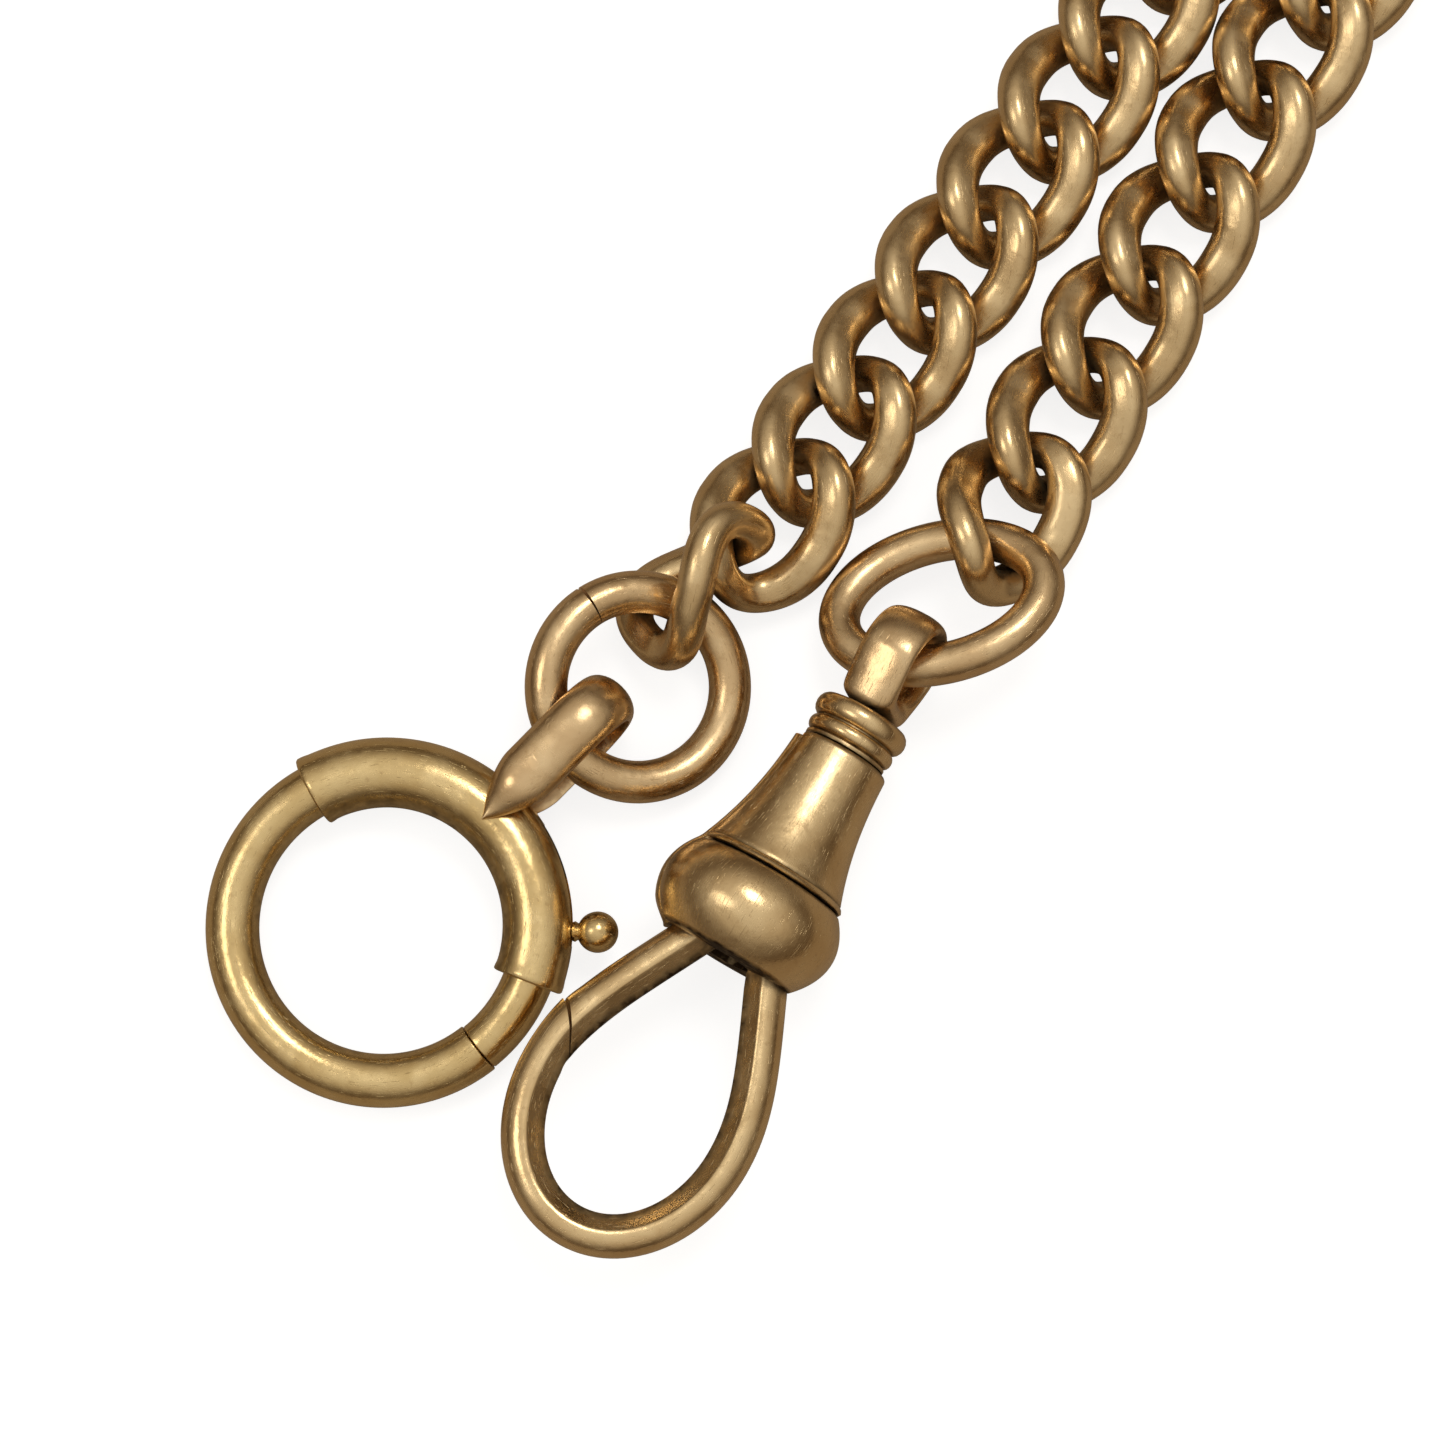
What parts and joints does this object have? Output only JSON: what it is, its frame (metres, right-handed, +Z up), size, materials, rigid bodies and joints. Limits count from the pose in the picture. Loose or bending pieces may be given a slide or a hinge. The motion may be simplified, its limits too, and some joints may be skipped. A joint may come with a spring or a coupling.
{
  "type": "pocket watch chain",
  "caption": "Curb-link pocket watch chain laid doubled, with a spring bolt ring at one end and a swivelling spring-gate dog clip at the other.",
  "frame": {"origin": "middle of the underside of the laid chain's box, on the surface it lies on", "axes": "+Z up off the surface, +Y along the doubled chain from the clasps to the loop, +X from the bolt ring's side to the clip's side"},
  "size_m": [0.0432, 0.1324, 0.0093],
  "materials": {
    "worn_gold": "satin, brushed and worn gold with brown patina in the crevices",
    "pivot_pin": "dull dark gold",
    "spring_steel": "plain spring steel"
  },
  "bodies": {
    "link_01": {"link_01": "worn_gold"},
    "link_02": {"link_02": "worn_gold"},
    "link_03": {"link_03": "worn_gold"},
    "link_04": {"link_04": "worn_gold"},
    "link_05": {"link_05": "worn_gold"},
    "link_06": {"link_06": "worn_gold"},
    "link_07": {"link_07": "worn_gold"},
    "link_08": {"link_08": "worn_gold"},
    "link_09": {"link_09": "worn_gold"},
    "link_10": {"link_10": "worn_gold"},
    "link_11": {"link_11": "worn_gold"},
    "link_12": {"link_12": "worn_gold"},
    "link_13": {"link_13": "worn_gold"},
    "link_14": {"link_14": "worn_gold"},
    "link_15": {"link_15": "worn_gold"},
    "link_16": {"link_16": "worn_gold"},
    "link_17": {"link_17": "worn_gold"},
    "link_18": {"link_18": "worn_gold"},
    "link_19": {"link_19": "worn_gold"},
    "link_20": {"link_20": "worn_gold"},
    "link_21": {"link_21": "worn_gold"},
    "link_22": {"link_22": "worn_gold"},
    "link_23": {"link_23": "worn_gold"},
    "link_24": {"link_24": "worn_gold"},
    "link_25": {"link_25": "worn_gold"},
    "link_26": {"link_26": "worn_gold"},
    "link_27": {"link_27": "worn_gold"},
    "link_28": {"link_28": "worn_gold"},
    "link_29": {"link_29": "worn_gold"},
    "link_30": {"link_30": "worn_gold"},
    "link_31": {"link_31": "worn_gold"},
    "link_32": {"link_32": "worn_gold"},
    "link_33": {"link_33": "worn_gold"},
    "link_34": {"link_34": "worn_gold"},
    "link_35": {"link_35": "worn_gold"},
    "link_36": {"link_36": "worn_gold"},
    "link_37": {"link_37": "worn_gold"},
    "link_38": {"link_38": "worn_gold"},
    "link_39": {"link_39": "worn_gold"},
    "link_40": {"link_40": "worn_gold"},
    "ring_1": {"jump_ring_1": "worn_gold"},
    "bolt_ring": {"ring_tube": "worn_gold", "ring_sleeve": "worn_gold", "ring_bail": "worn_gold", "bolt_spring": "spring_steel"},
    "bolt": {"bolt": "worn_gold", "thumb_button": "worn_gold"},
    "ring_2": {"jump_ring_2": "worn_gold"},
    "swivel": {"swivel_eye": "worn_gold", "swivel_collar": "worn_gold"},
    "clip": {"clip_body": "worn_gold", "clip_base": "worn_gold", "clip_hook": "worn_gold", "gate_pin": "pivot_pin", "gate_spring": "spring_steel"},
    "gate": {"gate_lever": "worn_gold"}
  },
  "joints": [
    {"name": "link_21_bend", "type": "hinge", "parent": "link_22", "child": "link_21", "pos_m": [-0.00269, 0.06255, 0.0021], "axis": [1, 0, 0], "range_deg": [-28, 6]},
    {"name": "link_20_bend", "type": "hinge", "parent": "link_21", "child": "link_20", "pos_m": [-0.00789, 0.06095, 0.0021], "axis": [1, 0, 0], "range_deg": [-28, 7]},
    {"name": "link_19_bend", "type": "hinge", "parent": "link_20", "child": "link_19", "pos_m": [-0.01239, 0.05789, 0.0021], "axis": [-1, 0, 0], "range_deg": [-8, 25]},
    {"name": "link_18_bend", "type": "hinge", "parent": "link_19", "child": "link_18", "pos_m": [-0.01578, 0.05363, 0.0021], "axis": [-1, 0, 0], "range_deg": [-11, 24]},
    {"name": "link_17_bend", "type": "hinge", "parent": "link_18", "child": "link_17", "pos_m": [-0.01775, 0.04856, 0.0021], "axis": [-1, 0, 0], "range_deg": [-16, 24]},
    {"name": "link_16_bend", "type": "hinge", "parent": "link_17", "child": "link_16", "pos_m": [-0.01815, 0.04313, 0.0021], "axis": [-1, 0, 0], "range_deg": [-24, 19]},
    {"name": "link_15_bend", "type": "hinge", "parent": "link_16", "child": "link_15", "pos_m": [-0.01692, 0.03783, 0.0021], "axis": [1, 0, 0], "range_deg": [-13, 26]},
    {"name": "link_14_bend", "type": "hinge", "parent": "link_15", "child": "link_14", "pos_m": [-0.01418, 0.03313, 0.0021], "axis": [1, 0, 0], "range_deg": [-9, 25]},
    {"name": "link_13_bend", "type": "hinge", "parent": "link_14", "child": "link_13", "pos_m": [-0.00996, 0.02973, 0.0021], "axis": [1, 0, 0], "range_deg": [-7, 28]},
    {"name": "link_12_bend", "type": "hinge", "parent": "link_13", "child": "link_12", "pos_m": [-0.00639, 0.02562, 0.0021], "axis": [1, 0, 0], "range_deg": [-10, 24]},
    {"name": "link_11_bend", "type": "hinge", "parent": "link_12", "child": "link_11", "pos_m": [-0.0042, 0.02064, 0.0021], "axis": [-1, 0, 0], "range_deg": [-24, 15]},
    {"name": "link_10_bend", "type": "hinge", "parent": "link_11", "child": "link_10", "pos_m": [-0.00378, 0.01526, 0.0021], "axis": [-1, 0, 0], "range_deg": [-22, 28]},
    {"name": "link_09_bend", "type": "hinge", "parent": "link_10", "child": "link_09", "pos_m": [-0.00378, 0.00986, 0.0021], "axis": [-1, 0, 0], "range_deg": [-28, 28]},
    {"name": "link_08_bend", "type": "hinge", "parent": "link_09", "child": "link_08", "pos_m": [-0.00369, 0.00446, 0.0021], "axis": [-1, 0, 0], "range_deg": [-28, 27]},
    {"name": "link_07_bend", "type": "hinge", "parent": "link_08", "child": "link_07", "pos_m": [-0.00387, -0.00094, 0.0021], "axis": [1, 0, 0], "range_deg": [-28, 28]},
    {"name": "link_06_bend", "type": "hinge", "parent": "link_07", "child": "link_06", "pos_m": [-0.00404, -0.00633, 0.0021], "axis": [1, 0, 0], "range_deg": [-28, 28]},
    {"name": "link_05_bend", "type": "hinge", "parent": "link_06", "child": "link_05", "pos_m": [-0.00422, -0.01173, 0.0021], "axis": [1, 0, 0], "range_deg": [-28, 28]},
    {"name": "link_04_bend", "type": "hinge", "parent": "link_05", "child": "link_04", "pos_m": [-0.0044, -0.01713, 0.0021], "axis": [1, 0, 0], "range_deg": [-28, 28]},
    {"name": "link_03_bend", "type": "hinge", "parent": "link_04", "child": "link_03", "pos_m": [-0.00458, -0.02252, 0.0022], "axis": [-1, 0, 0], "range_deg": [-20, 20]},
    {"name": "link_02_bend", "type": "hinge", "parent": "link_03", "child": "link_02", "pos_m": [-0.00479, -0.02775, 0.00253], "axis": [-1, 0, 0], "range_deg": [-22, 23]},
    {"name": "link_01_bend", "type": "hinge", "parent": "link_02", "child": "link_01", "pos_m": [-0.00579, -0.03278, 0.00464], "axis": [-1, 0, 0], "range_deg": [-8, 5]},
    {"name": "link_23_bend", "type": "hinge", "parent": "link_22", "child": "link_23", "pos_m": [0.00293, 0.06252, 0.0021], "axis": [1, 0, 0], "range_deg": [-9, 24]},
    {"name": "link_24_bend", "type": "hinge", "parent": "link_23", "child": "link_24", "pos_m": [0.00832, 0.06075, 0.0021], "axis": [1, 0, 0], "range_deg": [-10, 17]},
    {"name": "link_25_bend", "type": "hinge", "parent": "link_24", "child": "link_25", "pos_m": [0.0129, 0.0574, 0.0021], "axis": [-1, 0, 0], "range_deg": [-13, 11]},
    {"name": "link_26_bend", "type": "hinge", "parent": "link_25", "child": "link_26", "pos_m": [0.01623, 0.05281, 0.0021], "axis": [-1, 0, 0], "range_deg": [-11, 9]},
    {"name": "link_27_bend", "type": "hinge", "parent": "link_26", "child": "link_27", "pos_m": [0.01799, 0.04742, 0.0021], "axis": [-1, 0, 0], "range_deg": [-10, 9]},
    {"name": "link_28_bend", "type": "hinge", "parent": "link_27", "child": "link_28", "pos_m": [0.018, 0.04175, 0.0021], "axis": [-1, 0, 0], "range_deg": [-10, 9]},
    {"name": "link_29_bend", "type": "hinge", "parent": "link_28", "child": "link_29", "pos_m": [0.01626, 0.03635, 0.0021], "axis": [1, 0, 0], "range_deg": [-10, 11]},
    {"name": "link_30_bend", "type": "hinge", "parent": "link_29", "child": "link_30", "pos_m": [0.01292, 0.03179, 0.0021], "axis": [1, 0, 0], "range_deg": [-18, 11]},
    {"name": "link_31_bend", "type": "hinge", "parent": "link_30", "child": "link_31", "pos_m": [0.00846, 0.02829, 0.0021], "axis": [1, 0, 0], "range_deg": [-13, 11]},
    {"name": "link_32_bend", "type": "hinge", "parent": "link_31", "child": "link_32", "pos_m": [0.00528, 0.02358, 0.0021], "axis": [1, 0, 0], "range_deg": [-11, 9]},
    {"name": "link_33_bend", "type": "hinge", "parent": "link_32", "child": "link_33", "pos_m": [0.00379, 0.01813, 0.0021], "axis": [-1, 0, 0], "range_deg": [-15, 9]},
    {"name": "link_34_bend", "type": "hinge", "parent": "link_33", "child": "link_34", "pos_m": [0.00379, 0.0125, 0.0021], "axis": [-1, 0, 0], "range_deg": [-27, 27]},
    {"name": "link_35_bend", "type": "hinge", "parent": "link_34", "child": "link_35", "pos_m": [0.00379, 0.00687, 0.0021], "axis": [-1, 0, 0], "range_deg": [-27, 27]},
    {"name": "link_36_bend", "type": "hinge", "parent": "link_35", "child": "link_36", "pos_m": [0.0038, 0.00124, 0.0021], "axis": [-1, 0, 0], "range_deg": [-27, 25]},
    {"name": "link_37_bend", "type": "hinge", "parent": "link_36", "child": "link_37", "pos_m": [0.00399, -0.00438, 0.0021], "axis": [1, 0, 0], "range_deg": [-27, 26]},
    {"name": "link_38_bend", "type": "hinge", "parent": "link_37", "child": "link_38", "pos_m": [0.00418, -0.01001, 0.0021], "axis": [1, 0, 0], "range_deg": [-27, 26]},
    {"name": "link_39_bend", "type": "hinge", "parent": "link_38", "child": "link_39", "pos_m": [0.00429, -0.01564, 0.00217], "axis": [1, 0, 0], "range_deg": [-26, 21]},
    {"name": "link_40_bend", "type": "hinge", "parent": "link_39", "child": "link_40", "pos_m": [0.00428, -0.02135, 0.00234], "axis": [1, 0, 0], "range_deg": [-15, 17]},
    {"name": "ring_1_swing", "type": "hinge", "parent": "link_01", "child": "ring_1", "pos_m": [-0.00618, -0.03644, 0.00286], "axis": [1, 0, 0], "range_deg": [-30, 14]},
    {"name": "bolt_ring_swing", "type": "hinge", "parent": "ring_1", "child": "bolt_ring", "pos_m": [-0.00683, -0.04555, 0.00316], "axis": [1, 0, 0], "range_deg": [-16, 45]},
    {"name": "bolt_slide", "type": "hinge", "parent": "bolt_ring", "child": "bolt", "pos_m": [-0.00968, -0.05746, 0.00209], "axis": [-0.0221, -0.1039, 0.9943], "range_deg": [0, 29], "stiffness_Nm_per_rad": 0.001, "springref_deg": -28.65, "deforming": ["bolt_spring"]},
    {"name": "ring_2_swing", "type": "hinge", "parent": "link_40", "child": "ring_2", "pos_m": [0.0023, -0.02729, 0.00262], "axis": [1, 0, 0], "range_deg": [-4, 6]},
    {"name": "clip_eye_swing", "type": "hinge", "parent": "ring_2", "child": "swivel", "pos_m": [0.00651, -0.03215, 0.00525], "axis": [1, 0, 0], "range_deg": [-14, 9]},
    {"name": "clip_turn", "type": "hinge", "parent": "swivel", "child": "clip", "pos_m": [0.00446, -0.03745, 0.00465], "axis": [0.0436, -0.999, 0], "continuous": true},
    {"name": "gate_swing", "type": "hinge", "parent": "clip", "child": "gate", "pos_m": [0.00303, -0.04027, 0.00465], "axis": [0, 0, 1], "range_deg": [0, 10], "stiffness_Nm_per_rad": 0.002, "springref_deg": -22.92, "deforming": ["gate_spring"]}
  ]
}
